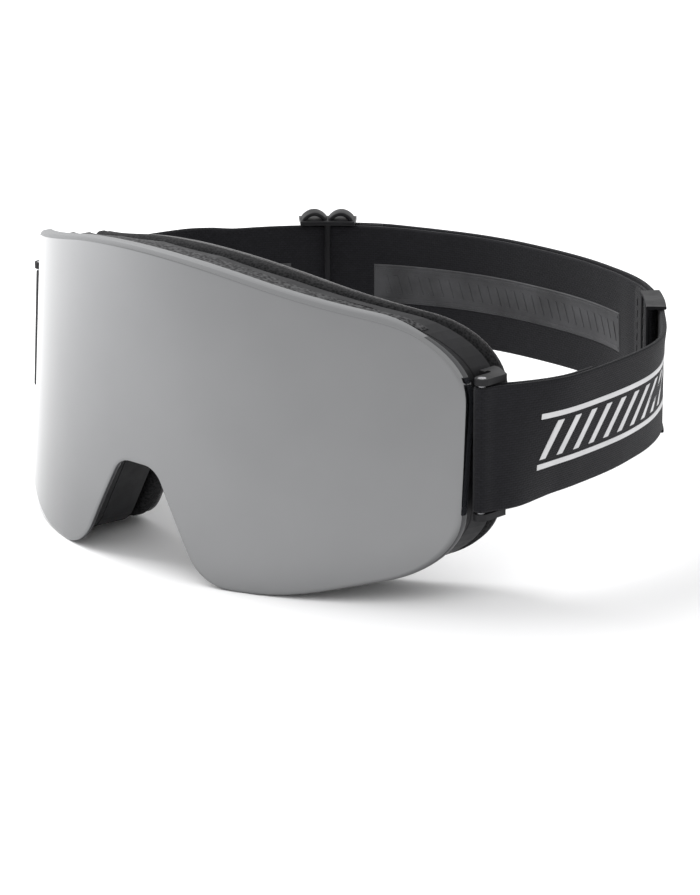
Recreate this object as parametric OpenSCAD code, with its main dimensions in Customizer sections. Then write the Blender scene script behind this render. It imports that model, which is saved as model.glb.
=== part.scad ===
// Ski goggles: frameless cylindrical lens unit held by magnets, vented frame,
// three-layer face foam, two swivelling strap brackets and an elastic strap
// with two sliders. Millimetres. +Z is up and the lens faces -Y. Left and
// right are as seen from the front: left is -X and right is +X.

/* [Lens] */
// Half the width of the lens at its widest
lens_half_w = 90.4; // [88:0.2:93]
// Radius of the lens's front surface, a vertical cylinder
lens_r = 112; // [108:1:118]
// Height where the two sloping top edges would meet
brow_z = 102; // [99:0.5:106]
// Height of the upper outer corner before rounding
temple_z = 83; // [80:0.5:86]
// Height of the nose arch
nose_z = 32; // [28:0.5:36]
// Lean of the lens and frame, top towards the face, degrees
lean = 3.4; // [0:0.2:6]
// Thickness of the outer lens
lens_t = 2.2; // [1.6:0.1:2.6]
// Thickness of the foam spacer between the lenses
gasket_t = 2; // [1.5:0.1:2.5]
// Thickness of the inner lens
inner_t = 0.8; // [0.6:0.1:1.2]
// Thickness of the magnet carrier
carrier_t = 2.2; // [2:0.1:3]
// Thickness of the outer lens's brow along its top edge
brow_t = 3.9; // [3:0.1:4]

/* [Frame] */
// Depth of the frame's rear face behind the lens, on the centre line
frame_depth = 20.5; // [18:0.5:24]
// Wall thickness of the frame
wall = 2.2; // [1.6:0.1:3]
// How far the frame stands in from the lens's edge
frame_inset = 3; // [2:0.2:4]
// Number of vent slots in the top wall
top_vents = 7; // [3:2:7]

/* [Foam] */
// Thickness of the firm foam layer
base_t = 4; // [3:0.5:5]
// Thickness of the soft foam layer
mid_t = 6; // [4:0.5:8]
// Thickness of the fleece
fleece_t = 2.5; // [1.5:0.5:3]

/* [Strap] */
// Width of the strap webbing
strap_w = 38; // [34:1:40]
// Thickness of one ply
ply = 1.5; // [1.2:0.1:1.8]
// Outer radius of the strap loop
loop_r = 101.7; // [100:0.1:105]
// Height of the strap's centre line
strap_z = 46.3; // [44:0.1:48]
// Angle of the left slider round the loop, from +X
left_angle = 133; // [130:1:136]
// Angle of the right slider round the loop, from +X
right_angle = 46; // [43:1:50]
// Half of a slider's length, as an angle round the loop
slider_half = 5.3; // [5:0.1:6]

/* [Hidden] */
$fn = 96;

// Origin: the middle of the whole object's footprint, on the floor
mid_depth = 92.8;
floor_lift = 0.85;

// Radii of the lens unit's layers about the lens's axis
gasket_r = lens_r - lens_t;
inner_r = gasket_r - gasket_t;
carrier_r = inner_r - inner_t;
unit_back_r = carrier_r - carrier_t;
frame_r = unit_back_r - 0.3;

brow_low = 78;

// Cylinders that bound the frame and foam at the back: [apex depth, radius]
frame_back = [frame_depth, 112];
base_back = [frame_depth + base_t, 116];
mid_back = [frame_depth + base_t + mid_t, 121];
face_back = [frame_depth + base_t + mid_t + fleece_t, 124];

// Insets of the frame and foam rings from the lens's edge
flange_in = 10;
rear_flange_in = 13;
groove_inset = 7.5;
foam_inset = 5;
foam_in = 17.5;
vent_foam_t = 0.8;
vent_slot_w = 4.4;

// Magnets and locating pegs: positions on the right half, [x, z]
magnet_places = [[28, 89], [60, 83], [83.4, 52], [60, 10]];
magnet_d = 5;
magnet_t = 1.6;
peg_places = [[45, 86.2], [74, 15.5]];
peg_d = 3;

// Strap bracket, its pivot and its bar
pivot_y = 59.8;
pivot_d = 4;
pin_x = 84.8;
plate_x = 87.7;
plate_t = 2.1;
bar_x = 93.7;
bar_y = 51.3;
bar_d = 2.6;
bar_loop_r = 2.8;
arm_t = 2;
edge_gap = 0.6;

// Strap loop
loop_y = 82;
front_angle = -13;
inner_ply_r = loop_r - ply - 1.7;
step_angle = 151;
step_sweep = 4;
tab_sweep = 10;
tab_t = 2.9;
strap_low = strap_z - strap_w / 2;
strap_high = strap_z + strap_w / 2;
stitch_t = 0.3;
hair = 0.05;
grip_t = 0.5;
grip_h = 14;

// The lens's outline seen from the front, as corners [x, z, radius]
outline = [[25.5, -0.3, 16], [50, -0.5, 80], [lens_half_w - 0.8, 12, 20],
    [lens_half_w, temple_z, 27], [0, brow_z, 183], [-lens_half_w, temple_z, 27],
    [0.8 - lens_half_w, 12, 20], [-50, -0.5, 80], [-25.5, -0.3, 16],
    [-7.5, nose_z, 8], [7.5, nose_z, 8]];

function unit(v) = v / norm(v);
function at(list, i) = list[(i + len(list)) % len(list)];
function flat(p) = [p[0], p[1]];
function turn(a, b) = atan2(a[0] * b[1] - a[1] * b[0], a * b);

// Points of one corner, rounded to its radius
function corner(p, q, s) =
    let (d1 = unit(flat(q) - flat(p)), d2 = unit(flat(s) - flat(q)), t = turn(d1, d2),
        side = t > 0 ? 1 : -1, reach = q[2] * tan(abs(t) / 2),
        start = flat(q) - d1 * reach, normal = [-d1[1], d1[0]] * side,
        centre = start + normal * q[2], n = max(2, ceil(abs(t) / 8)))
    [for (i = [0:n]) let (a = t * i / n, r = start - centre)
        centre + [r[0] * cos(a) - r[1] * sin(a), r[0] * sin(a) + r[1] * cos(a)]];

// A closed outline with every corner rounded
function rounded(v) = [for (i = [0:len(v) - 1]) each corner(at(v, i - 1), v[i], at(v, i + 1))];

// The outline moved inwards by d, with its radii changed to match
function inset(v, d) = [for (i = [0:len(v) - 1])
    let (d1 = unit(flat(v[i]) - flat(at(v, i - 1))), d2 = unit(flat(at(v, i + 1)) - flat(v[i])),
        n1 = [-d1[1], d1[0]], n2 = [-d2[1], d2[0]],
        p = flat(v[i]) + d * (n1 + n2) / (1 + n1 * n2))
    [p[0], p[1], max(1.5, v[i][2] + (turn(d1, d2) > 0 ? -d : d))]];

// Depth of a vertical cylinder's front, given its apex and radius
function depth(x, apex, r) = apex + r - sqrt(r * r - x * x);

// The pivot's place in the leaning frame's own directions
function unlean(y, z) = [y * cos(lean) - z * sin(lean), z * cos(lean) + y * sin(lean)];

module level() {
    translate([0, -mid_depth, 0]) children();
}

module leaned() {
    level() translate([0, 0, floor_lift]) rotate([-lean, 0, 0]) children();
}

// Both sides: the children and their mirror image
module both_sides() {
    children();
    mirror([1, 0, 0]) children();
}

// The outline, moved in by d and extruded front to back
module prism(d) {
    translate([0, 90, 0]) rotate([90, 0, 0]) linear_extrude(100) polygon(rounded(inset(outline, d)));
}

module ring(outer, inner) {
    difference() {
        prism(outer);
        prism(inner);
    }
}

// A vertical cylinder whose front is at the apex
module drum(apex, r) {
    translate([0, apex + r, -20]) cylinder(r = r, h = 140, $fn = 180);
}

// The layer between two radii about the lens's axis
module lens_layer(front_r, back_r) {
    difference() {
        drum(lens_r - front_r, front_r);
        drum(lens_r - back_r, back_r);
    }
}

// The layer between two of the rear drums
module back_layer(front, back) {
    difference() {
        drum(front[0], front[1]);
        drum(back[0], back[1]);
    }
}

// Places children on the lens's curve at [x, z], facing out from radius r
module on_curve(x, z, r) {
    translate([0, lens_r, z]) rotate([0, 0, asin(x / r)]) translate([0, -r, 0])
        rotate([-90, 0, 0]) children();
}

// Discs set into the layer whose front is at radius r; lift starts them further forward
module magnets(r, d, t, lift = 0) {
    both_sides() for (p = magnet_places)
        on_curve(p[0], p[1], r) translate([0, 0, -lift]) cylinder(d = d, h = t + lift);
}

// Pegs along the lens's pull-off direction
module pegs(d, length) {
    both_sides() for (p = peg_places)
        translate([p[0], depth(p[0], lens_r - unit_back_r, unit_back_r) - 1.2, p[1]])
            rotate([-90, 0, 0]) cylinder(d = d, h = length);
}

// ---- Lens unit ----

// The outer lens. Its top edge is deeper than the rest: a brow over the layers behind
module outer_lens() {
    color([0.72, 0.73, 0.75]) leaned() difference() {
        intersection() {
            prism(0);
            lens_layer(lens_r, lens_r - brow_t);
        }
        intersection() {
            drum(lens_r - gasket_r, gasket_r);
            union() {
                prism(frame_inset - 0.4);
                translate([-100, -10, -20]) cube([200, 130, brow_low + 20]);
            }
        }
    }
}

module lens_gasket() {
    color([0.12, 0.12, 0.13]) leaned() intersection() {
        ring(frame_inset, 7);
        lens_layer(gasket_r, inner_r);
    }
}

module inner_lens() {
    color([0.75, 0.8, 0.82, 0.5]) leaned() intersection() {
        prism(frame_inset);
        lens_layer(inner_r, carrier_r);
    }
}

module lens_carrier() {
    color([0.1, 0.1, 0.11]) leaned() {
        difference() {
            intersection() {
                ring(frame_inset, 9.5);
                lens_layer(carrier_r, unit_back_r);
            }
            magnets(unit_back_r + magnet_t, magnet_d + 0.1, 4);
        }
        pegs(peg_d, 4.2);
    }
}

module lens_magnets() {
    color([0.7, 0.7, 0.72]) leaned() magnets(unit_back_r + magnet_t, magnet_d, magnet_t);
}

// ---- Frame ----

// All of the space between the lens unit and the frame's rear face
module frame_space() {
    difference() {
        drum(lens_r - frame_r, frame_r);
        drum(frame_back[0], frame_back[1]);
    }
}

module frame_ring() {
    intersection() {
        frame_space();
        ring(frame_inset, frame_inset + wall);
    }
    intersection() {
        lens_layer(frame_r, frame_r - wall);
        ring(frame_inset, flange_in);
    }
    intersection() {
        back_layer([frame_back[0] - wall, frame_back[1] + wall], frame_back);
        ring(frame_inset, rear_flange_in);
    }
}

// One slot through the wall, turned to follow the frame's curve
module vent_slot(x, length, low, high) {
    y = (depth(x, lens_r - frame_r, frame_r) + depth(x, frame_back[0], frame_back[1])) / 2;
    translate([x, y, low]) rotate([0, 0, asin(x / frame_r)])
        translate([-length / 2, -vent_slot_w / 2, 0]) cube([length, vent_slot_w, high - low]);
}

// Rows of slots through the top and bottom walls
module vent_slots() {
    for (i = [0:top_vents - 1]) vent_slot((i - (top_vents - 1) / 2) * 19, 12, 74, 104);
    both_sides() for (x = [38, 51, 64]) vent_slot(x, 8, -5, 11);
}

// Boss inside each side wall for the bracket's pivot pin
module pivot_bosses() {
    p = unlean(pivot_y, strap_z - floor_lift);
    intersection() {
        frame_space();
        both_sides() translate([82, p[0], p[1]]) rotate([0, 90, 0]) cylinder(d = 10, h = 5);
    }
}

module frame_shell() {
    color([0.1, 0.1, 0.11]) difference() {
        leaned() difference() {
            union() {
                frame_ring();
                pivot_bosses();
            }
            vent_slots();
            magnets(frame_r, magnet_d + 0.1, magnet_t, 2);
            pegs(peg_d + 0.8, 7);
        }
        level() both_sides() translate([pin_x, pivot_y, strap_z]) rotate([0, 90, 0])
            cylinder(d = pivot_d, h = 8);
    }
}

module frame_magnets() {
    color([0.7, 0.7, 0.72]) leaned() magnets(frame_r, magnet_d, magnet_t);
}

// A strip of open foam laid on the outside of the wall over the vents
module vent_foam() {
    leaned() intersection() {
        difference() {
            drum(lens_r - frame_r, frame_r);
            drum(frame_back[0] - 5, frame_back[1] + 5);
        }
        ring(frame_inset - vent_foam_t, frame_inset);
        children();
    }
}

module top_vent_foam() {
    color([0.25, 0.25, 0.26]) vent_foam() translate([-76, 0, 70]) cube([152, 70, 40]);
}

module bottom_vent_foam_right() {
    color([0.2, 0.2, 0.21]) vent_foam() translate([32, 0, -5]) cube([38, 70, 20]);
}

module bottom_vent_foam_left() {
    mirror([1, 0, 0]) bottom_vent_foam_right();
}

// ---- Face foam ----

module foam_base() {
    color([0.08, 0.08, 0.09]) leaned() intersection() {
        ring(groove_inset, foam_in);
        back_layer(frame_back, base_back);
    }
}

module foam_mid() {
    color([0.16, 0.16, 0.17]) leaned() intersection() {
        ring(foam_inset, foam_in);
        back_layer(base_back, mid_back);
    }
}

module foam_fleece() {
    color([0.3, 0.3, 0.31]) leaned() intersection() {
        ring(foam_inset + 0.4, foam_in + 0.4);
        back_layer(mid_back, face_back);
    }
}

// ---- Strap brackets ----

module pivot_pin_right() {
    color([0.6, 0.6, 0.62]) level() translate([0, pivot_y, strap_z]) rotate([0, 90, 0]) {
        translate([0, 0, pin_x]) cylinder(d = pivot_d - 0.04, h = plate_x + plate_t + 0.9 - pin_x);
        translate([0, 0, plate_x + plate_t + 0.3]) cylinder(d = 7.6, h = 0.7);
    }
}

module pivot_pin_left() {
    mirror([1, 0, 0]) pivot_pin_right();
}

module outrigger_right() {
    low = strap_low - edge_gap - arm_t;
    high = strap_high + edge_gap;
    color([0.09, 0.09, 0.1]) level() difference() {
        union() {
            translate([plate_x, pivot_y - 3, low]) cube([plate_t, 6.5, high + arm_t - low]);
            translate([plate_x, pivot_y, strap_z]) rotate([0, 90, 0]) cylinder(d = 12, h = plate_t);
            for (z = [low, high]) {
                translate([0, 0, z]) linear_extrude(arm_t) polygon([
                    [plate_x, pivot_y - 1.5], [bar_x - 2.7, pivot_y - 1.5], [bar_x - 2.2, pivot_y - 2.5],
                    [bar_x - 2.2, bar_y], [bar_x + 2.2, bar_y], [bar_x + 2.2, pivot_y],
                    [plate_x + plate_t, pivot_y + 3.4], [plate_x, pivot_y + 3.4]]);
                translate([bar_x, bar_y, z]) cylinder(d = 4.3, h = arm_t);
            }
        }
        translate([plate_x - 1, pivot_y, strap_z]) rotate([0, 90, 0])
            cylinder(d = pivot_d + 0.6, h = plate_t + 2);
        translate([bar_x, bar_y, low - 1]) cylinder(d = bar_d, h = high + arm_t - low + 2);
    }
}

module outrigger_left() {
    mirror([1, 0, 0]) outrigger_right();
}

module strap_bar_right() {
    color([0.6, 0.6, 0.62]) level() translate([bar_x, bar_y, strap_low - edge_gap - arm_t])
        cylinder(d = bar_d - 0.04, h = strap_w + 2 * edge_gap + 2 * arm_t);
}

module strap_bar_left() {
    mirror([1, 0, 0]) strap_bar_right();
}

// ---- Strap ----

// A piece of band round the loop: outer radius, thickness, start angle and sweep
module band(r, t, start, sweep, z, h) {
    translate([0, loop_y, z]) rotate([0, 0, start]) rotate_extrude(angle = sweep, $fn = 180)
        translate([r - t, 0]) square([t, h]);
}

// A straight stretch of ply between two points, seen from above. It is a hair
// narrower and thinner than the bands it joins, so that no faces coincide
module stretch(a, b, a_in, b_in) {
    translate([0, 0, strap_low + hair]) linear_extrude(strap_w - 2 * hair)
        polygon([a, b, b_in, a_in]);
}

function on_loop(r, a) = [r * cos(a), loop_y + r * sin(a)];

// The strap's front end on the right: sewn round the bar, then out to the loop
module strap_front() {
    translate([bar_x, bar_y, strap_low + 2 * hair]) difference() {
        cylinder(r = bar_loop_r, h = strap_w - 4 * hair);
        translate([0, 0, -1]) cylinder(d = bar_d + 0.2, h = strap_w + 2);
    }
    a = front_angle;
    stretch([bar_x + bar_loop_r - hair, bar_y + 0.2], on_loop(loop_r - hair, a + 0.5),
        [bar_x + bar_loop_r - ply, bar_y + 0.6], on_loop(loop_r - ply + hair, a + 0.5));
}

module right_strap() {
    color([0.13, 0.13, 0.16]) level() {
        strap_front();
        band(loop_r, ply, front_angle, left_angle - 2.2 - tab_sweep - front_angle, strap_low, strap_w);
    }
}

module left_strap() {
    a = step_angle;
    b = step_angle + step_sweep;
    start = right_angle + 1.2 + tab_sweep + 1;
    color([0.13, 0.13, 0.16]) level() {
        mirror([1, 0, 0]) strap_front();
        band(loop_r, ply, b, 180 - front_angle - b, strap_low, strap_w);
        stretch(on_loop(loop_r - hair, b + 0.2), on_loop(inner_ply_r - hair, a - 0.2),
            on_loop(loop_r - ply + hair, b + 0.2), on_loop(inner_ply_r - ply + hair, a - 0.2));
        band(inner_ply_r, ply, start, a - start, strap_low, strap_w);
    }
}

// Silicone lines that stop the strap slipping on a helmet
module grip(start, sweep) {
    for (i = [-1:1])
        band(inner_ply_r - ply, grip_t, start, sweep, strap_z + i * grip_h / 3 - 1.7, 3.4);
}

module grip_stripe_rear() {
    color([0.35, 0.35, 0.37]) level() grip(61, 63);
}

module grip_stripe_side() {
    color([0.35, 0.35, 0.37]) level() grip(140, 6);
}

// ---- Sliders ----

// End rail of a slider. A tall one has two gaps between it and the strap's edge
module slider_rail(r, t, angle, high) {
    difference() {
        band(r, t, angle - slider_half, 2 * slider_half, 0, high);
        if (high > 3) for (side = [-1, 1])
            band(r + 1, t + 2, angle + side * 2.5 - 1.2, 2.4, -1, 2.6);
    }
}

// A slider: two end rails, two side bars and a round centre bar
module slider(angle, outer, inner, side_bar_r, side_bar_t, centre_r, rail_h) {
    for (flip = [0, 1]) translate([0, 0, strap_z]) mirror([0, 0, flip])
        translate([0, 0, strap_w / 2 + 0.4]) slider_rail(outer, outer - inner, angle, rail_h);
    for (side = [-1, 1])
        band(side_bar_r, side_bar_t, angle + side * (slider_half - 0.7) - 0.7, 1.4,
            strap_low - 1, strap_w + 2);
    translate(concat(on_loop(centre_r, angle), [strap_low - 1])) cylinder(d = 2, h = strap_w + 2);
}

// A sewn strap end: the loop round a slider's centre bar and a doubled tab
module sewn_end(angle, centre_r, tab_r, start) {
    difference() {
        union() {
            translate(concat(on_loop(centre_r, angle), [strap_low + hair]))
                cylinder(r = 1.9, h = strap_w - 2 * hair);
            band(tab_r, tab_t, start, tab_sweep, strap_low, strap_w);
        }
        translate(concat(on_loop(centre_r, angle), [strap_low - 1])) cylinder(d = 2.2, h = strap_w + 2);
    }
}

// Two rows of stitches across a sewn end, standing in to radius r less their thickness
module stitches(r, start) {
    for (a = [2.6, 8.4]) for (i = [0:8])
        band(r, stitch_t, start + a - 0.25, 0.5, strap_low + 3 + i * 3.75, 2.4);
}

left_bar_r = inner_ply_r + 0.4 + 1.9;
right_bar_r = loop_r - ply - 0.4 - 1.9;

module left_slider() {
    color([0.06, 0.06, 0.07]) level()
        slider(left_angle, left_bar_r + 2, inner_ply_r - ply - 2.9, inner_ply_r - ply - 0.9,
            1.8, left_bar_r, 3.4);
}

module right_slider() {
    color([0.06, 0.06, 0.07]) level()
        slider(right_angle, loop_r + 1.5, right_bar_r - 2, loop_r + 1.3, 0.9, right_bar_r, 1.6);
}

module right_strap_tab() {
    color([0.13, 0.13, 0.16]) level()
        sewn_end(left_angle, left_bar_r, left_bar_r + 1.5, left_angle - 0.4 - tab_sweep);
}

module left_strap_tab() {
    color([0.13, 0.13, 0.16]) level()
        sewn_end(right_angle, right_bar_r, right_bar_r + 1.5, right_angle + 0.4);
}

module left_bartack() {
    color([0.05, 0.05, 0.05]) level() stitches(left_bar_r + 1.5 + stitch_t, left_angle - 0.4 - tab_sweep);
}

module right_bartack() {
    color([0.05, 0.05, 0.05]) level() stitches(right_bar_r + 1.5 - tab_t, right_angle + 0.4);
}

outer_lens();
lens_gasket();
inner_lens();
lens_carrier();
lens_magnets();
frame_shell();
frame_magnets();
top_vent_foam();
bottom_vent_foam_left();
bottom_vent_foam_right();
foam_base();
foam_mid();
foam_fleece();
pivot_pin_left();
pivot_pin_right();
outrigger_left();
outrigger_right();
strap_bar_left();
strap_bar_right();
left_strap();
right_strap();
grip_stripe_rear();
grip_stripe_side();
left_slider();
right_strap_tab();
left_bartack();
right_slider();
left_strap_tab();
right_bartack();
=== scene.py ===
"""Looks for the ski goggles: mirrored lens, foams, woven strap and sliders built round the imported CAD."""

import math

import bmesh
import bpy
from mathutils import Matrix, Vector
from mathutils.geometry import delaunay_2d_cdt


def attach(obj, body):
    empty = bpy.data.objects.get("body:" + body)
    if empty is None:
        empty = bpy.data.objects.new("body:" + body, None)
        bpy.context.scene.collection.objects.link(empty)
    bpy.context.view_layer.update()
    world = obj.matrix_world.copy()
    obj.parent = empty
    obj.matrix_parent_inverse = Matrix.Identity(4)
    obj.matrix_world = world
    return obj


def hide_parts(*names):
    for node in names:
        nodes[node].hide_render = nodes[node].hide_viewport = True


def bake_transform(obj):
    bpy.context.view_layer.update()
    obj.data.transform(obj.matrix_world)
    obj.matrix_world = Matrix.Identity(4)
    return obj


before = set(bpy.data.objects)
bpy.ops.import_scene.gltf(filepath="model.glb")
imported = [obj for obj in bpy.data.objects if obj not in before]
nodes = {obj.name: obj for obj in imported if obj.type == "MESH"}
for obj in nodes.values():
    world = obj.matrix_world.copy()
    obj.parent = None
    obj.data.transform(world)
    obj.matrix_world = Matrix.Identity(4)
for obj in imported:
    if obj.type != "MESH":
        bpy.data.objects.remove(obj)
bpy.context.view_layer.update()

# ---- Sizes in millimetres, the same as the CAD's ----

LEAN = math.radians(3.4)
MID_DEPTH, FLOOR_LIFT = 92.8, 0.85
LENS_R = 112.0
LENS_T = 2.2
BROW_T, BROW_IN, BROW_LOW = 3.9, 2.6, 78.0
GASKET_BACK = 4.2
VENT_FRONT, VENT_BACK = (7.6, 104.4), (15.5, 117.0)
FRAME_INSET, VENT_INSET = 3.0, 2.2
FRAME_BACK = (20.5, 112.0)
BASE_BACK = (24.5, 116.0)
MID_BACK = (30.5, 121.0)
FACE_BACK = (33.0, 124.0)
LOOP_Y, LOOP_R, PLY = 82.0, 101.7, 1.5
STRAP_Z, STRAP_W = 46.3, 38.0
BAR_X, BAR_Y = 93.7, 51.3
LEFT_SLIDER, RIGHT_SLIDER, SLIDER_HALF = 133.0, 46.0, 5.3
INNER_PLY_R = LOOP_R - PLY - 1.7
LEFT_BAR_R = INNER_PLY_R + 2.3
RIGHT_BAR_R = LOOP_R - PLY - 2.3
TAB_SWEEP = 10.4

# Lens outline seen from the front: corners as x, z, radius and arc steps
OUTLINE = [
    (25.5, -0.3, 16, 8), (50, -0.5, 80, 5), (89.6, 12, 20, 16), (90.4, 83, 27, 16),
    (0, 102, 183, 18), (-90.4, 83, 27, 16), (-89.6, 12, 20, 16), (-50, -0.5, 80, 5),
    (-25.5, -0.3, 16, 8), (-7.5, 32, 8, 8), (7.5, 32, 8, 8),
]
STRAIGHTS = [4, 4, 10, 10, 10, 10, 4, 4, 5, 2, 5]


def level(x, y, z):
    return (x * 0.001, (y - MID_DEPTH) * 0.001, z * 0.001)


def leaned(x, y, z):
    c, s = math.cos(LEAN), math.sin(LEAN)
    return (x * 0.001, (y * c + z * s - MID_DEPTH) * 0.001, (z * c - y * s + FLOOR_LIFT) * 0.001)


def depth(x, drum):
    """Depth at x of a vertical cylinder's front, given as (apex depth, radius)."""
    return drum[0] + drum[1] - math.sqrt(drum[1] ** 2 - x * x)


def lens_depth(x, back):
    """Depth at x of the surface that lies `back` behind the lens's front."""
    return LENS_R - math.sqrt((LENS_R - back) ** 2 - x * x)


def ramp(value, low, high):
    """0 below low, 1 above high, smooth between."""
    t = min(1.0, max(0.0, (value - low) / (high - low)))
    return t * t * (3 - 2 * t)


def mix(a, b, t):
    return a + (b - a) * t


def outline(inset):
    """The lens's outline moved in by inset, with the same number of points whatever the inset."""
    count = len(OUTLINE)
    flat = [Vector(c[:2]) for c in OUTLINE]
    way = [(flat[(i + 1) % count] - flat[i]).normalized() for i in range(count)]
    arcs = []
    for i, (_, _, radius, steps) in enumerate(OUTLINE):
        d1, d2 = way[i - 1], way[i]
        n1, n2 = Vector((-d1.y, d1.x)), Vector((-d2.y, d2.x))
        corner = flat[i] + inset * (n1 + n2) / (1 + n1.dot(n2))
        turn = math.atan2(d1.x * d2.y - d1.y * d2.x, d1.dot(d2))
        side = 1 if turn > 0 else -1
        r = max(1.5, radius - side * inset)
        start = corner - d1 * r * math.tan(abs(turn) / 2)
        centre = start + n1 * side * r
        arm = start - centre
        points = []
        for k in range(steps + 1):
            a = turn * k / steps
            points.append(Vector((
                centre.x + arm.x * math.cos(a) - arm.y * math.sin(a),
                centre.y + arm.x * math.sin(a) + arm.y * math.cos(a))))
        arcs.append(points)
    ring = []
    for i in range(count):
        ring += arcs[i]
        end, begin, parts = arcs[i][-1], arcs[(i + 1) % count][0], STRAIGHTS[i]
        ring += [end.lerp(begin, k / parts) for k in range(1, parts)]
    return [(p.x, p.y) for p in ring]


# ---- Mesh helpers ----


def make(name, verts, faces, materials, sharp=35.0, face_material=None, uvs=None):
    mesh = bpy.data.meshes.new(name)
    mesh.from_pydata(verts, [], faces)
    for m in materials if isinstance(materials, (list, tuple)) else [materials]:
        mesh.materials.append(m)
    if face_material:
        for polygon, index in zip(mesh.polygons, face_material):
            polygon.material_index = index
    if uvs:
        layer = mesh.uv_layers.new(name="weave")
        for loop in mesh.loops:
            layer.data[loop.index].uv = uvs[loop.vertex_index]
    mesh.validate()
    bm = bmesh.new()
    bm.from_mesh(mesh)
    bmesh.ops.recalc_face_normals(bm, faces=bm.faces)
    bm.to_mesh(mesh)
    bm.free()
    mesh.shade_smooth()
    mesh.set_sharp_from_angle(angle=math.radians(sharp))
    obj = bpy.data.objects.new(name, mesh)
    bpy.context.scene.collection.objects.link(obj)
    return obj


def settle(obj, body, replaces=()):
    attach(obj, body)
    if replaces:
        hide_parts(*replaces)
    return obj


def ring_faces(sections, count, closed_across=True, closed_along=True):
    """Quads between `sections` rings of `count` points each."""
    faces = []
    for i in range(sections if closed_across else sections - 1):
        j = (i + 1) % sections
        for k in range(count if closed_along else count - 1):
            n = (k + 1) % count
            faces.append((i * count + k, i * count + n, j * count + n, j * count + k))
    return faces


def rounded_box(width, height, radius, steps=4):
    """A closed rounded rectangle about the origin, anticlockwise."""
    points = []
    for cx, cy, start in ((1, 1, 0), (-1, 1, 90), (-1, -1, 180), (1, -1, 270)):
        for k in range(steps + 1):
            a = math.radians(start + 90 * k / steps)
            points.append((cx * (width / 2 - radius) + radius * math.cos(a),
                           cy * (height / 2 - radius) + radius * math.sin(a)))
    return points


def split_long(profile, longest):
    """The closed profile with points added so that no side is longer than longest."""
    out = []
    for i, p in enumerate(profile):
        q = profile[(i + 1) % len(profile)]
        parts = max(1, math.ceil(math.dist(p, q) / longest))
        out += [(mix(p[0], q[0], k / parts), mix(p[1], q[1], k / parts)) for k in range(parts)]
    return out


# ---- Materials ----


def shader(name, colour, roughness, metallic=0.0, **sockets):
    material = bpy.data.materials.new(name)
    material.use_nodes = True
    tree = material.node_tree
    bsdf = tree.nodes["Principled BSDF"]
    bsdf.inputs["Base Color"].default_value = (*colour, 1)
    bsdf.inputs["Roughness"].default_value = roughness
    bsdf.inputs["Metallic"].default_value = metallic
    for socket, value in sockets.items():
        bsdf.inputs[socket.replace("_", " ")].default_value = value
    return material, tree, bsdf


def noise(tree, scale, detail=3.0, stretch=None):
    """Noise over the row frame. Scale is in features a metre; stretch squeezes it along an axis."""
    node = tree.nodes.new("ShaderNodeTexNoise")
    node.inputs["Scale"].default_value = scale
    node.inputs["Detail"].default_value = detail
    place = tree.nodes.new("ShaderNodeTexCoord")
    out = place.outputs["Object"]
    if stretch:
        mapping = tree.nodes.new("ShaderNodeMapping")
        mapping.inputs["Scale"].default_value = stretch
        tree.links.new(out, mapping.inputs["Vector"])
        out = mapping.outputs["Vector"]
    tree.links.new(out, node.inputs["Vector"])
    return node.outputs["Fac"]


def between(tree, fac, low, high, start=0.3, end=0.7):
    """A colour that runs from low to high as fac goes from start to end."""
    node = tree.nodes.new("ShaderNodeValToRGB")
    node.color_ramp.elements[0].position, node.color_ramp.elements[1].position = start, end
    node.color_ramp.elements[0].color, node.color_ramp.elements[1].color = (*low, 1), (*high, 1)
    tree.links.new(fac, node.inputs["Fac"])
    return node.outputs["Color"]


def ranged(tree, fac, low, high):
    node = tree.nodes.new("ShaderNodeMapRange")
    node.inputs["From Min"].default_value, node.inputs["From Max"].default_value = 0.3, 0.7
    node.inputs["To Min"].default_value, node.inputs["To Max"].default_value = low, high
    tree.links.new(fac, node.inputs["Value"])
    return node.outputs["Result"]


def bump(tree, bsdf, height, strength, distance, under=None):
    node = tree.nodes.new("ShaderNodeBump")
    node.inputs["Strength"].default_value = strength
    node.inputs["Distance"].default_value = distance
    tree.links.new(height, node.inputs["Height"])
    if under:
        tree.links.new(under, node.inputs["Normal"])
    tree.links.new(node.outputs["Normal"], bsdf.inputs["Normal"])
    return node.outputs["Normal"]


def moulded(name, dark, light, roughness, grain=2600, strength=0.25, gloss=0.4):
    """Moulded plastic or rubber: a fine spark-eroded grain and slight mottling."""
    material, tree, bsdf = shader(name, dark, roughness, Specular_IOR_Level=gloss)
    tree.links.new(between(tree, noise(tree, 90), dark, light), bsdf.inputs["Base Color"])
    tree.links.new(ranged(tree, noise(tree, 160), roughness - 0.06, roughness + 0.08),
                   bsdf.inputs["Roughness"])
    bump(tree, bsdf, noise(tree, grain), strength, 0.0001)
    return material


def foam_material(name, dark, light, pore, strength, sheen=0.0):
    """Open-cell foam: pores from cell noise; the colour is darkened at the sunken pore centres as painted
    shade.
    """
    material, tree, bsdf = shader(name, dark, 0.95, Specular_IOR_Level=0.15,
                                  Sheen_Weight=sheen, Sheen_Roughness=0.6)
    cells = tree.nodes.new("ShaderNodeTexVoronoi")
    cells.inputs["Scale"].default_value = pore
    place = tree.nodes.new("ShaderNodeTexCoord")
    tree.links.new(place.outputs["Object"], cells.inputs["Vector"])
    # Painted shade: the colour is darkest at the cell centres, the same places the bump below sinks as
    # pores.
    tree.links.new(between(tree, cells.outputs["Distance"], dark, light, 0.15, 0.75),
                   bsdf.inputs["Base Color"])
    soft = bump(tree, bsdf, noise(tree, pore * 0.35), strength * 0.6, 0.0006)
    bump(tree, bsdf, cells.outputs["Distance"], strength, 0.0003, soft)
    return material


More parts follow.
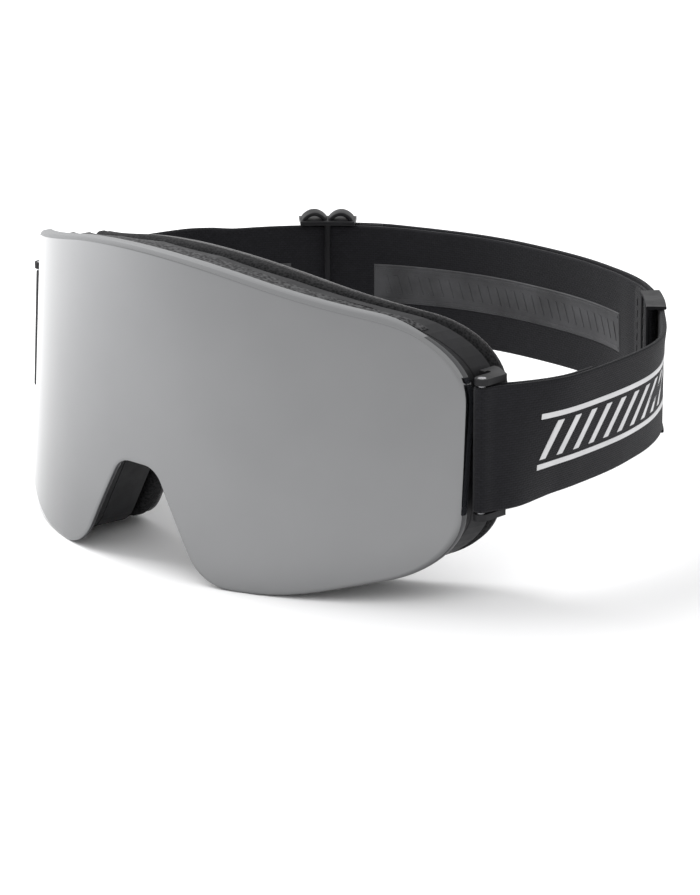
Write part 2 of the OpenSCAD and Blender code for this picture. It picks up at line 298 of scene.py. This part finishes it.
def woven(name, dark, light, pitch, strength):
    """Woven elastic: a plain weave from brick rows on the strap's own coordinates, in millimetres, with
    painted shade in the sunken gaps between yarns.
    """
    material, tree, bsdf = shader(name, dark, 0.82, Specular_IOR_Level=0.22,
                                  Sheen_Weight=0.06, Sheen_Roughness=0.5)
    place = tree.nodes.new("ShaderNodeUVMap")
    place.uv_map = "weave"
    weave = tree.nodes.new("ShaderNodeTexBrick")
    weave.inputs["Scale"].default_value = 1.0
    weave.inputs["Brick Width"].default_value = pitch
    weave.inputs["Row Height"].default_value = pitch * 0.5
    weave.inputs["Mortar Size"].default_value = pitch * 0.11
    weave.inputs["Mortar Smooth"].default_value = 1.0
    weave.inputs["Color1"].default_value = (*dark, 1)
    weave.inputs["Color2"].default_value = (*light, 1)
    # Painted shade: the mortar, the gaps between yarns that the bump sinks, is darkened to a third of the
    # yarn colour.
    weave.inputs["Mortar"].default_value = (*[c * 0.35 for c in dark], 1)
    tree.links.new(place.outputs["UV"], weave.inputs["Vector"])
    tree.links.new(weave.outputs["Color"], bsdf.inputs["Base Color"])
    fuzz = bump(tree, bsdf, noise(tree, 1400), 0.25, 0.0002)
    flip = tree.nodes.new("ShaderNodeMath")
    flip.operation = "SUBTRACT"
    flip.inputs[0].default_value = 1.0
    tree.links.new(weave.outputs["Fac"], flip.inputs[1])
    bump(tree, bsdf, flip.outputs[0], strength, 0.00025, fuzz)
    return material


def metal(name, colour, roughness):
    """Plated or brushed metal with fine lengthwise scratches."""
    material, tree, bsdf = shader(name, colour, roughness, 1.0)
    scratch = noise(tree, 900, 4, (1, 1, 0.08))
    tree.links.new(ranged(tree, scratch, roughness * 0.7, roughness * 1.5), bsdf.inputs["Roughness"])
    bump(tree, bsdf, scratch, 0.08, 0.0001)
    return material


def mirror_material():
    """Silver mirror coating: bright metal, with the faint haze and dust of a coated lens."""
    material, tree, bsdf = shader("mirror_coating", (0.215, 0.217, 0.22), 0.09, 1.0)
    haze = noise(tree, 28, 4)
    tree.links.new(between(tree, haze, (0.208, 0.21, 0.213), (0.222, 0.224, 0.227)),
                   bsdf.inputs["Base Color"])
    tree.links.new(ranged(tree, noise(tree, 40, 5), 0.06, 0.13), bsdf.inputs["Roughness"])
    bump(tree, bsdf, noise(tree, 18, 2), 0.02, 0.0004)
    return material


MIRROR = mirror_material()
BEVEL = shader("polished_edge", (0.2, 0.202, 0.206), 0.5, 0.0, Specular_IOR_Level=0.15)[0]
SMOKE = shader("smoked_back", (0.02, 0.021, 0.024), 0.08, Specular_IOR_Level=0.7)[0]
CLEAR = shader("clear_lens", (0.86, 0.88, 0.9), 0.03, Transmission_Weight=1.0, IOR=1.3)[0]
FRAME = moulded("frame_polyurethane", (0.012, 0.012, 0.013), (0.017, 0.017, 0.019), 0.55, gloss=0.22)
NYLON = moulded("slider_nylon", (0.008, 0.008, 0.009), (0.012, 0.012, 0.0135), 0.46, 3200, 0.15, 0.16)
VENT = foam_material("vent_foam", (0.012, 0.012, 0.0125), (0.075, 0.075, 0.077), 950, 0.9)
FOAM = foam_material("face_foam", (0.006, 0.006, 0.0065), (0.022, 0.022, 0.023), 1300, 0.7)
FLEECE = foam_material("fleece", (0.02, 0.0195, 0.02), (0.055, 0.053, 0.055), 2200, 0.5, 0.35)
WEB = woven("strap_webbing", (0.006, 0.006, 0.0082), (0.0086, 0.0086, 0.0115), 1.5, 0.5)
THREAD = moulded("thread", (0.006, 0.006, 0.007), (0.012, 0.012, 0.013), 0.7, 4000, 0.4)
SILICONE = moulded("silicone_grip", (0.036, 0.036, 0.038), (0.066, 0.066, 0.07), 0.5, 900, 0.5, 0.25)
PRINT = moulded("strap_print", (0.56, 0.56, 0.57), (0.64, 0.64, 0.65), 0.6, 1800, 0.35)
STEEL = metal("pin_steel", (0.5, 0.5, 0.52), 0.28)
NICKEL = metal("magnet_nickel", (0.62, 0.61, 0.6), 0.2)

for node_names, material in (
    (("frame_shell", "lens_carrier", "outrigger_left", "outrigger_right"), FRAME),
    (("inner_lens",), CLEAR),
    (("pivot_pin_left", "pivot_pin_right", "strap_bar_left", "strap_bar_right"), STEEL),
    (("lens_magnets", "frame_magnets"), NICKEL),
):
    for node_name in node_names:
        nodes[node_name].data.materials.clear()
        nodes[node_name].data.materials.append(material)


# ---- Outer lens ----


def fill(boundary, step_x, step_z):
    """Triangles inside a closed outline, with inner points in columns. Returns points and faces."""
    count = len(boundary)
    points = [Vector(p) for p in boundary]
    xs = [p[0] for p in boundary]
    zs = [p[1] for p in boundary]

    def inside(x, z):
        hit = False
        for i in range(count):
            (x1, z1), (x2, z2) = boundary[i], boundary[i - 1]
            if (z1 > z) != (z2 > z) and x < (x2 - x1) * (z - z1) / (z2 - z1) + x1:
                hit = not hit
        return hit

    x = math.ceil(min(xs) / step_x) * step_x
    while x < max(xs):
        z = math.ceil(min(zs) / step_z) * step_z
        while z < max(zs):
            near = min(math.dist((x, z), p) for p in boundary)
            if near > step_x * 0.6 and inside(x, z):
                points.append(Vector((x, z)))
            z += step_z
        x += step_x
    out = delaunay_2d_cdt(points, [], [list(range(count))], 1, 1e-6)
    return [tuple(p) for p in out[0]], [tuple(f) for f in out[2]]


def edge_top(ring):
    """For each point of the outline, 1 where the lens has its deep brow and 0 elsewhere."""
    return [ramp(z, BROW_LOW, BROW_LOW + 7) * (1 - ramp(abs(x), 70, 82)) for x, z in ring]


def mirror_lens():
    """The outer lens: a mirrored face, an edge with a small round-over, and a deeper brow on top."""
    # Both profiles are (inset, depth) from the face, round the edge, to the back
    small = [(1.1, 0.0), (0.7, 0.0), (0.4, 0.12), (0.16, 0.3), (0.03, 0.55), (0.0, 0.9), (0.0, 1.5),
             (0.08, 1.9), (0.35, LENS_T), (1.6, LENS_T), (1.9, LENS_T), (2.3, LENS_T), (3.4, LENS_T)]
    large = [(2.0, 0.0), (1.5, 0.0), (0.85, 0.14), (0.35, 0.42), (0.07, 0.85), (0.0, 1.3), (0.0, 2.9),
             (0.1, 3.5), (0.45, BROW_T), (1.6, BROW_T), (2.3, BROW_T - 0.25), (BROW_IN, LENS_T + 0.2),
             (3.4, LENS_T)]
    last_front, last_edge = 4, 7
    share = edge_top(outline(0))
    count = len(share)
    rings = []
    for (d0, t0), (d1, t1) in zip(small, large):
        low, high = outline(d0), outline(d1)
        rings.append([(mix(a[0], b[0], w), mix(a[1], b[1], w), mix(t0, t1, w))
                      for a, b, w in zip(low, high, share)])
    verts = [leaned(x, lens_depth(x, t), z) for ring in rings for x, z, t in ring]
    faces = ring_faces(len(rings), count, closed_across=False)
    kinds = []
    for i in range(len(rings) - 1):
        for k in range(count):
            on_brow = max(share[k], share[(k + 1) % count]) > 0.02
            if i == 0:
                kinds.append(0)
            elif i > last_edge:
                kinds.append(2)
            elif on_brow:
                kinds.append(1)
            else:
                kinds.append(0 if i < last_front else 2)
    for back, ring, base in ((0.0, rings[0], 0), (LENS_T, rings[-1], (len(rings) - 1) * count)):
        flat, triangles = fill([(x, z) for x, z, _ in ring], 3.0, 6.0)
        extra = len(verts)
        verts += [leaned(x, lens_depth(x, back), z) for x, z in flat[count:]]
        for f in triangles:
            faces.append(tuple(base + i if i < count else extra + i - count for i in f))
            kinds.append(0 if back == 0 else 2)
    lens = make("mirror_lens", verts, faces, [MIRROR, BEVEL, SMOKE], 24, kinds)
    return settle(lens, "lens_unit", ["outer_lens"])


mirror_lens()


# ---- Foams ----


def between_drums(x, front, back, t):
    return mix(depth(x, front), depth(x, back), t)


def foam_ring(name, outer, inner, front, back, radius, material, replaced, swell, wave):
    """A ring of foam with rounded edges that swells a little between them."""
    thick = back[0] - front[0]
    profile = split_long(rounded_box(inner - outer, thick, radius, 5), 2.2)
    middle = (outer + inner) / 2
    stations = []
    for u, v in profile:
        t = 0.5 + v / thick
        crown = swell * (1 - (2 * v / thick) ** 2) * (1 if u > 0 else -1)
        stations.append((middle + u + crown, t))
    rings = [outline(d) for d, _ in stations]
    verts = []
    for ring, (d, t) in zip(rings, stations):
        for k, (x, z) in enumerate(ring):
            ripple = wave * (math.sin(x * 0.31 + z * 0.17) + math.sin(z * 0.23 - x * 0.11 + d))
            verts.append(leaned(x, between_drums(x, front, back, t) + ripple * (t - 0.15), z))
    obj = make(name, verts, ring_faces(len(stations), len(rings[0])), material, 60)
    settle(obj, "frame", [replaced])
    return obj


def gasket():
    """The thin foam between the two lenses, with slightly pinched edges."""
    profile = [(3.0, 0.35), (3.0, 0.65), (3.25, 0.93), (3.6, 1.0), (5.0, 1.0), (6.4, 1.0), (6.75, 0.93),
               (7.0, 0.65), (7.0, 0.35), (6.75, 0.07), (6.4, 0.0), (5.0, 0.0), (3.6, 0.0), (3.25, 0.07)]
    verts = []
    for d, t in profile:
        back = mix(LENS_T, GASKET_BACK, t)
        verts += [leaned(x, lens_depth(x, back), z) for x, z in outline(d)]
    faces = ring_faces(len(profile), len(outline(FRAME_INSET)))
    obj = make("lens_gasket_foam", verts, faces, FOAM, 50)
    settle(obj, "lens_unit", ["lens_gasket"])


gasket()
foam_ring("face_foam_base", 7.5, 17.5, FRAME_BACK, BASE_BACK, 0.9, FOAM, "foam_base", 0.0, 0.0)
foam_ring("face_foam_mid", 3.6, 17.5, BASE_BACK, MID_BACK, 1.9, FOAM, "foam_mid", 0.35, 0.0)
foam_ring("face_fleece", 3.9, 17.9, MID_BACK, FACE_BACK, 1.2, FLEECE, "foam_fleece", 0.15, 0.12)


def vent_strip(name, keep, replaced):
    """Vent foam on the frame's wall, over the part of the outline that keep(x, z) picks."""
    across = [(0.0, 0.0), (0.6, 0.0), (0.88, 0.03), (1.0, 0.09)]
    across += [(1.0, k / 8) for k in range(1, 8)]
    across += [(1.0, 0.91), (0.88, 0.97), (0.6, 1.0), (0.0, 1.0)]
    wall, face = outline(FRAME_INSET), outline(VENT_INSET)
    chosen = [i for i, (x, z) in enumerate(wall) if keep(x, z)]
    breaks = [i for i in range(1, len(chosen)) if chosen[i] - chosen[i - 1] > 1]
    if breaks:
        chosen = chosen[breaks[0]:] + chosen[:breaks[0]]
    count = len(chosen)
    verts = []
    for rise, t in across:
        for k, i in enumerate(chosen):
            taper = 0.25 + 0.75 * ramp(min(k, count - 1 - k), 0, 3)
            x, z = (mix(a, b, rise * taper) for a, b in zip(wall[i], face[i]))
            verts.append(leaned(x, between_drums(x, VENT_FRONT, VENT_BACK, t), z))
    faces = ring_faces(len(across), count, True, False)
    faces.append(tuple(i * count for i in range(len(across))))
    faces.append(tuple(i * count + count - 1 for i in reversed(range(len(across)))))
    obj = make(name, verts, faces, VENT, 50)
    settle(obj, "frame", [replaced])
    return obj


vent_strip("vent_foam_top", lambda x, z: z > 70 and abs(x) < 76, "top_vent_foam")
vent_strip("vent_foam_bottom_right", lambda x, z: z < 15 and 32 < x < 70, "bottom_vent_foam_right")
vent_strip("vent_foam_bottom_left", lambda x, z: z < 15 and -70 < x < -32, "bottom_vent_foam_left")


# ---- Strap space: radius, angle round the loop and height ----


def bulge(angle):
    """How far the strap stands out from its circle on the right rear."""
    return 3.3 * ramp(angle, 4, 30) * (1 - ramp(angle, 62, 92))


def lean_out(angle):
    """How far the strap's top edge stands out beyond its bottom edge, over the strap's width."""
    near = 8.0 * ramp(angle, -15, -1) * (1 - ramp(angle, 20, 42))
    rear = -3.0 * ramp(angle, 58, 72) * (1 - ramp(angle, 108, 124))
    far = 5.0 * ramp(angle, 152, 160) * (1 - ramp(angle, 172, 184))
    left_end = -1.6 * ramp(angle, 186, 194)
    return near + rear + far + left_end


def plan(r, angle):
    """Where a point of the loop is seen from above, at the strap's middle height."""
    a = math.radians(angle)
    r = r + bulge(angle)
    return Vector((r * math.cos(a), LOOP_Y + r * math.sin(a)))


def around(r, angle, z):
    """A point of the strap's space in the row frame."""
    a = math.radians(angle)
    r = r + bulge(angle) + (z - STRAP_Z) / STRAP_W * lean_out(angle)
    return level(r * math.cos(a), LOOP_Y + r * math.sin(a), z)


def to_loop(x, y):
    """Radius and angle of a plan point, where the loop doesn't bulge."""
    return math.hypot(x, y - LOOP_Y), math.degrees(math.atan2(y - LOOP_Y, x))


def smooth_path(points, step=1.2):
    """A Catmull-Rom curve through (radius, angle, thickness) points, cut into short steps."""
    out = []
    for i in range(len(points) - 1):
        p0, p1 = points[max(i - 1, 0)], points[i]
        p2, p3 = points[i + 1], points[min(i + 2, len(points) - 1)]
        length = (plan(p1[0], p1[1]) - plan(p2[0], p2[1])).length
        parts = max(1, round(length / step))
        for k in range(parts):
            t = k / parts
            out.append(tuple(
                0.5 * (2 * b + (c - a) * t + (2 * a - 5 * b + 4 * c - d) * t * t
                       + (3 * b - a - 3 * c + d) * t ** 3)
                for a, b, c, d in zip(p0, p1, p2, p3)))
    return out + [points[-1]]


EDGE = [(-19.0, 0.35), (-18.86, 0.72), (-18.5, 0.96), (-17.6, 1.0), (-12, 1.0), (-6, 1.0), (0, 1.0),
        (6, 1.0), (12, 1.0), (17.6, 1.0), (18.5, 0.96), (18.86, 0.72), (19.0, 0.35)]


def ribbon(name, path, material):
    """A band of webbing along a path of (radius, angle, thickness), with rounded selvedges."""
    verts, uvs, travelled = [], [], 0.0
    middle = [plan(r, a) for r, a, _ in path]
    for i, (r, angle, thick) in enumerate(path):
        before, after = middle[max(i - 1, 0)], middle[min(i + 1, len(path) - 1)]
        along = (after - before).normalized()
        normal = Vector((along.y, -along.x))
        if i:
            travelled += (middle[i] - middle[i - 1]).length
        out = Vector((math.cos(math.radians(angle)), math.sin(math.radians(angle))))
        for side, row in ((1, EDGE), (-1, EDGE[::-1])):
            for z, share in row:
                p = middle[i] + normal * side * share * thick / 2
                p = p + out * (z / STRAP_W * lean_out(angle))
                verts.append(level(p.x, p.y, STRAP_Z + z))
                uvs.append((travelled, z + (50 if side < 0 else 0)))
    count = 2 * len(EDGE)
    faces = ring_faces(len(path), count, closed_across=False)
    faces.append(tuple(range(count)))
    faces.append(tuple(reversed(range((len(path) - 1) * count, len(path) * count))))
    return make(name, verts, faces, material, 50, uvs=uvs)


def front_end(mirrored):
    """The strap's sewn front end: a tail inside, round the bracket's bar, and out to the loop."""
    bar_wrap = 1.9
    plan_points = []
    for a in (4, 0, -4, -8):
        rad = math.radians(a)
        plan_points.append((99.35 * math.cos(rad), LOOP_Y + 99.35 * math.sin(rad), 1.4))
    plan_points += [(96.6, 61.0, 1.4), (94.2, 57.2, 1.3), (92.2, 53.9, 1.1)]
    for a in (180, 225, 270, 315, 360):
        rad = math.radians(a)
        plan_points.append((BAR_X + bar_wrap * math.cos(rad), BAR_Y + bar_wrap * math.sin(rad), 0.9))
    plan_points += [(96.0, 53.9, 1.2), (97.4, 57.3, 1.45)]
    out = []
    for x, y, t in plan_points:
        r, a = to_loop(x, y)
        out.append((r, 180 - a if mirrored else a, t))
    return out


def bar_turn(bar_r, bar_angle, radius, thick, start, end, steps=6):
    """Half a turn of ply round a slider's centre bar, from start to end in degrees."""
    out = []
    for k in range(steps + 1):
        a = math.radians(mix(start, end, k / steps))
        out.append((bar_r + radius * math.sin(a),
                    bar_angle + math.degrees(radius * math.cos(a) / bar_r), thick))
    return out


def right_ribbon():
    ply_r = LOOP_R - PLY / 2
    path = front_end(False)
    path += [(ply_r, a, PLY) for a in range(-11, 119, 4)]
    tab = LEFT_BAR_R + 0.05
    path += [(tab + 0.75, 123, 1.45), (tab + 0.78, 127, 1.45), (tab + 0.9, 130.6, 1.35)]
    path += bar_turn(LEFT_BAR_R, LEFT_SLIDER, 1.52, 0.95, 95, -95)
    path += [(tab - 0.85, 130.6, 1.3), (tab - 0.72, 127, 1.4), (tab - 0.72, LEFT_SLIDER - TAB_SWEEP, 1.4)]
    strap = ribbon("strap_right", smooth_path(path), WEB)
    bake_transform(strap)
    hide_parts("right_strap", "right_strap_tab")


def left_ribbon():
    outer, inner = LOOP_R - PLY / 2, INNER_PLY_R - PLY / 2
    path = front_end(True)
    path += [(outer, a, PLY) for a in range(191, 156, -4)]
    path += [(mix(outer, inner, 1 - ramp(a, 150, 156)), a, PLY)
             for a in (155, 154, 153, 152, 151)]
    path += [(inner, a, PLY) for a in range(149, 60, -4)]
    tab = RIGHT_BAR_R + 0.05
    path += [(tab + 0.72, 56, 1.4), (tab + 0.74, 52, 1.4), (tab + 0.85, 48.4, 1.3)]
    path += bar_turn(RIGHT_BAR_R, RIGHT_SLIDER, 1.5, 0.9, 85, 275)
    path += [(tab - 0.85, 48.4, 1.3), (tab - 0.72, 52, 1.4), (tab - 0.72, RIGHT_SLIDER + TAB_SWEEP, 1.4)]
    strap = ribbon("strap_left", smooth_path(path), WEB)
    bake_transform(strap)
    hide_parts("left_strap", "left_strap_tab")


right_ribbon()
left_ribbon()


# ---- Stitches, grip and print ----


def pad_shape(verts, faces, corners, r_low, r_high, splits, edge=0.25):
    """Adds a raised patch with four (angle, z) corners, split along its length to follow the curve."""
    base = len(verts)
    a, b, c, d = corners
    rows = []
    for k in range(splits + 1):
        t = k / splits
        lo = (mix(a[0], b[0], t), mix(a[1], b[1], t))
        hi = (mix(d[0], c[0], t), mix(d[1], c[1], t))
        pull = 0.0 if 0 < k < splits else edge
        along = math.degrees(pull / 100) * (1 if k == 0 else -1) * (1 if b[0] > a[0] else -1)
        rows.append((lo, hi, along))
    for lo, hi, along in rows:
        verts += [around(r_low, *lo), around(r_low, *hi),
                  around(r_high, hi[0] + along, hi[1] - edge), around(r_high, lo[0] + along, lo[1] + edge)]
    for k in range(splits):
        i, j = base + 4 * k, base + 4 * k + 4
        for s in range(4):
            n = (s + 1) % 4
            faces.append((i + s, i + n, j + n, j + s))
    last = base + 4 * splits
    faces.append((base, base + 1, base + 2, base + 3))
    faces.append((last + 3, last + 2, last + 1, last))


def stitches(name, body, r_low, r_high, angles, replaced=()):
    verts, faces = [], []
    for angle in angles:
        for i in range(9):
            z = STRAP_Z - 16.2 + i * 3.75
            half = 0.24
            pad_shape(verts, faces, [(angle - half, z), (angle + half, z),
                                     (angle + half, z + 2.4), (angle - half, z + 2.4)],
                      r_low, r_high, 2, 0.12)
    obj = make(name, verts, faces, THREAD, 60)
    return settle(obj, body, replaced)


left_tab_face = LEFT_BAR_R + 0.05 + 0.76 + 0.72
right_tab_face = RIGHT_BAR_R + 0.05 - 0.72 - 0.7
stitches("stitches_left_slider", "left_slider", left_tab_face - 0.1, left_tab_face + 0.22,
         (125.2, 129.6), ["left_bartack"])
stitches("stitches_right_slider", "right_slider", right_tab_face + 0.1, right_tab_face - 0.22,
         (49.2, 54.6), ["right_bartack"])


def grip(name, start, end, replaced):
    """Silicone film on the strap's inner face, embossed with slanted dashes between two lines."""
    verts, faces = [], []
    face_r = INNER_PLY_R - PLY
    low, high = STRAP_Z - 6.6, STRAP_Z + 6.6
    splits = max(4, round((end - start) * 0.8))
    pad_shape(verts, faces, [(start, low), (end, low), (end, high), (start, high)],
              face_r + 0.1, face_r - 0.22, splits, 0.3)
    for z in (low + 0.9, high - 2.0):
        line = [(start + 0.5, z), (end - 0.5, z), (end - 0.5, z + 1.1), (start + 0.5, z + 1.1)]
        pad_shape(verts, faces, line, face_r - 0.15, face_r - 0.36, splits, 0.1)
    angle = start + 1.2
    while angle < end - 2.6:
        pad_shape(verts, faces, [(angle, STRAP_Z - 3.1), (angle + 1.0, STRAP_Z - 3.1),
                                 (angle + 2.0, STRAP_Z + 3.1), (angle + 1.0, STRAP_Z + 3.1)],
                  face_r - 0.15, face_r - 0.36, 2, 0.1)
        angle += 2.1
    obj = make(name, verts, faces, SILICONE, 30)
    return settle(obj, "strap", [replaced])


grip("grip_rear", 64.5, 124, "grip_stripe_rear")
grip("grip_side", 140, 146, "grip_stripe_side")


def print_bars():
    """A generic printed band: two long lines with slanted strokes between them."""
    verts, faces = [], []
    start, end, pitch = -7.5, 40.0, 4.2
    low, high, line = STRAP_Z - 9.4, STRAP_Z + 8.6, 1.9
    r_low, r_high = LOOP_R - 0.08, LOOP_R + 0.14
    splits = round((end - start) * 0.8)
    for z in (low, high - line):
        pad_shape(verts, faces, [(start, z), (end, z), (end, z + line), (start, z + line)],
                  r_low, r_high, splits, 0.12)
    z0, z1, width = low + line + 1.3, high - line - 1.3, 1.5
    angle = start + 0.4
    shift = math.degrees((z1 - z0) * 0.5 / LOOP_R)
    while angle < end - 6:
        stroke = [(angle, z0), (angle + width, z0), (angle + width + shift, z1), (angle + shift, z1)]
        pad_shape(verts, faces, stroke, r_low, r_high, 2, 0.12)
        angle += pitch
    obj = make("strap_print", verts, faces, PRINT, 30)
    return settle(obj, "strap")


print_bars()


# ---- Sliders ----


def tube(verts, faces, path, width, height, radius):
    """A rounded bar along a path of (radius, angle, z), `width` through the strap and `height` along it."""
    profile = rounded_box(width, height, radius, 3)
    count = len(profile)
    base = len(verts)
    scale = math.degrees(1 / 100)
    for i, (r, angle, z) in enumerate(path):
        before, after = path[max(i - 1, 0)], path[min(i + 1, len(path) - 1)]
        along = Vector(((after[1] - before[1]) / scale, after[2] - before[2])).normalized()
        for u, v in profile:
            verts.append(around(r + u, angle - along.y * v * scale, z + along.x * v))
    for i in range(len(path) - 1):
        for k in range(count):
            n = (k + 1) % count
            a, b = base + i * count, base + (i + 1) * count
            faces.append((a + k, a + n, b + n, b + k))
    faces.append(tuple(base + k for k in range(count)))
    faces.append(tuple(base + (len(path) - 1) * count + k for k in reversed(range(count))))


def slider(name, body, angle, low_r, high_r, posts, centre_r, ears, replaced):
    """A slider: two end rails, posts of (radius, angle, thickness, width) and a centre bar.

    With ears, each rail is arched twice over a hole.
    """
    verts, faces = [], []
    rail_r, rail_w = (low_r + high_r) / 2, high_r - low_r
    rail_z, rail_t = (1.3, 1.5) if ears else (0.7, 1.0)
    for end in (-1, 1):
        def height(z):
            return STRAP_Z + end * (STRAP_W / 2 + z)
        base = [(rail_r, angle + SLIDER_HALF * mix(-1, 1, k / 12), height(rail_z)) for k in range(13)]
        tube(verts, faces, base, rail_w, rail_t, 0.4)
        for way in (-1, 1) if ears else ():
            arch = []
            for k in range(13):
                t = k / 12
                rise = math.sin(math.pi * t)
                arch.append((rail_r, angle + way * mix(0.35, SLIDER_HALF - 0.55, t),
                             height(1.6 + 2.5 * rise ** 0.7)))
            tube(verts, faces, arch, rail_w * 0.72, 1.25, 0.45)
    for post_r, turn, thick, wide in posts:
        post = [(post_r, angle + turn, STRAP_Z + z) for z in (-20, -10, 0, 10, 20)]
        tube(verts, faces, post, thick, wide, thick * 0.35)
    centre = [(centre_r, angle, STRAP_Z + z) for z in (-20, -10, 0, 10, 20)]
    tube(verts, faces, centre, 2.0, 2.0, 0.95)
    obj = make(name, verts, faces, NYLON, 45)
    return settle(obj, body, [replaced])


right_post_r = RIGHT_BAR_R - 1.4
slider("slider_left", "left_slider", LEFT_SLIDER, INNER_PLY_R - PLY - 2.4, LEFT_BAR_R + 2.0,
       [(INNER_PLY_R - PLY - 1.3, 0, 1.6, 2.0)], LEFT_BAR_R, True, "left_slider")
slider("slider_right", "right_slider", RIGHT_SLIDER, RIGHT_BAR_R - 2.0, LOOP_R + 0.5,
       [(LOOP_R + 0.25, 0, 0.4, 2.0), (right_post_r, -4.2, 1.2, 2.0), (right_post_r, 4.2, 1.2, 2.0)],
       RIGHT_BAR_R, False, "right_slider")


# ---- Floor, light and camera ----

floor_material, floor_tree, floor_bsdf = shader("floor", (0.9, 0.9, 0.905), 0.9, Specular_IOR_Level=0.1)
floor_tree.links.new(between(floor_tree, noise(floor_tree, 6), (0.895, 0.895, 0.9), (0.905, 0.905, 0.91)),
                     floor_bsdf.inputs["Base Color"])
disc = [(8 * math.cos(math.tau * k / 64), 8 * math.sin(math.tau * k / 64), 0) for k in range(64)]
floor = make("floor", disc, [tuple(range(64))], floor_material)

scene = bpy.context.scene
world = bpy.data.worlds.new("studio")
scene.world = world
world.use_nodes = True
world.node_tree.nodes["Background"].inputs["Color"].default_value = (1, 1, 1, 1)
world.node_tree.nodes["Background"].inputs["Strength"].default_value = 1.08
scene.view_settings.view_transform = "Standard"


def area_light(name, place, aim, size, power, colour=(1, 1, 1)):
    data = bpy.data.lights.new(name, "AREA")
    data.shape, data.size, data.size_y = "RECTANGLE", size[0], size[1]
    data.energy, data.color = power, colour
    lamp = bpy.data.objects.new(name, data)
    lamp.location = place
    lamp.rotation_euler = (Vector(aim) - Vector(place)).to_track_quat("-Z", "Y").to_euler()
    scene.collection.objects.link(lamp)


area_light("key", (-0.55, -0.15, 0.55), (-0.3, -0.05, 0), (0.5, 0.8), 6.5)

AZIMUTH, ELEVATION, DISTANCE = math.radians(43.65), math.radians(17.37), 1.4
target = Vector((0.04221, -0.0428, 0.03601))
back = Vector((math.sin(AZIMUTH) * math.cos(ELEVATION), -math.cos(AZIMUTH) * math.cos(ELEVATION),
               math.sin(ELEVATION)))
camera_data = bpy.data.cameras.new("camera")
camera_data.lens, camera_data.sensor_width, camera_data.sensor_fit = 241.2, 36, "HORIZONTAL"
camera = bpy.data.objects.new("camera", camera_data)
camera.location = target + back * DISTANCE
camera.rotation_euler = (-back).to_track_quat("-Z", "Y").to_euler()
scene.collection.objects.link(camera)
scene.camera = camera
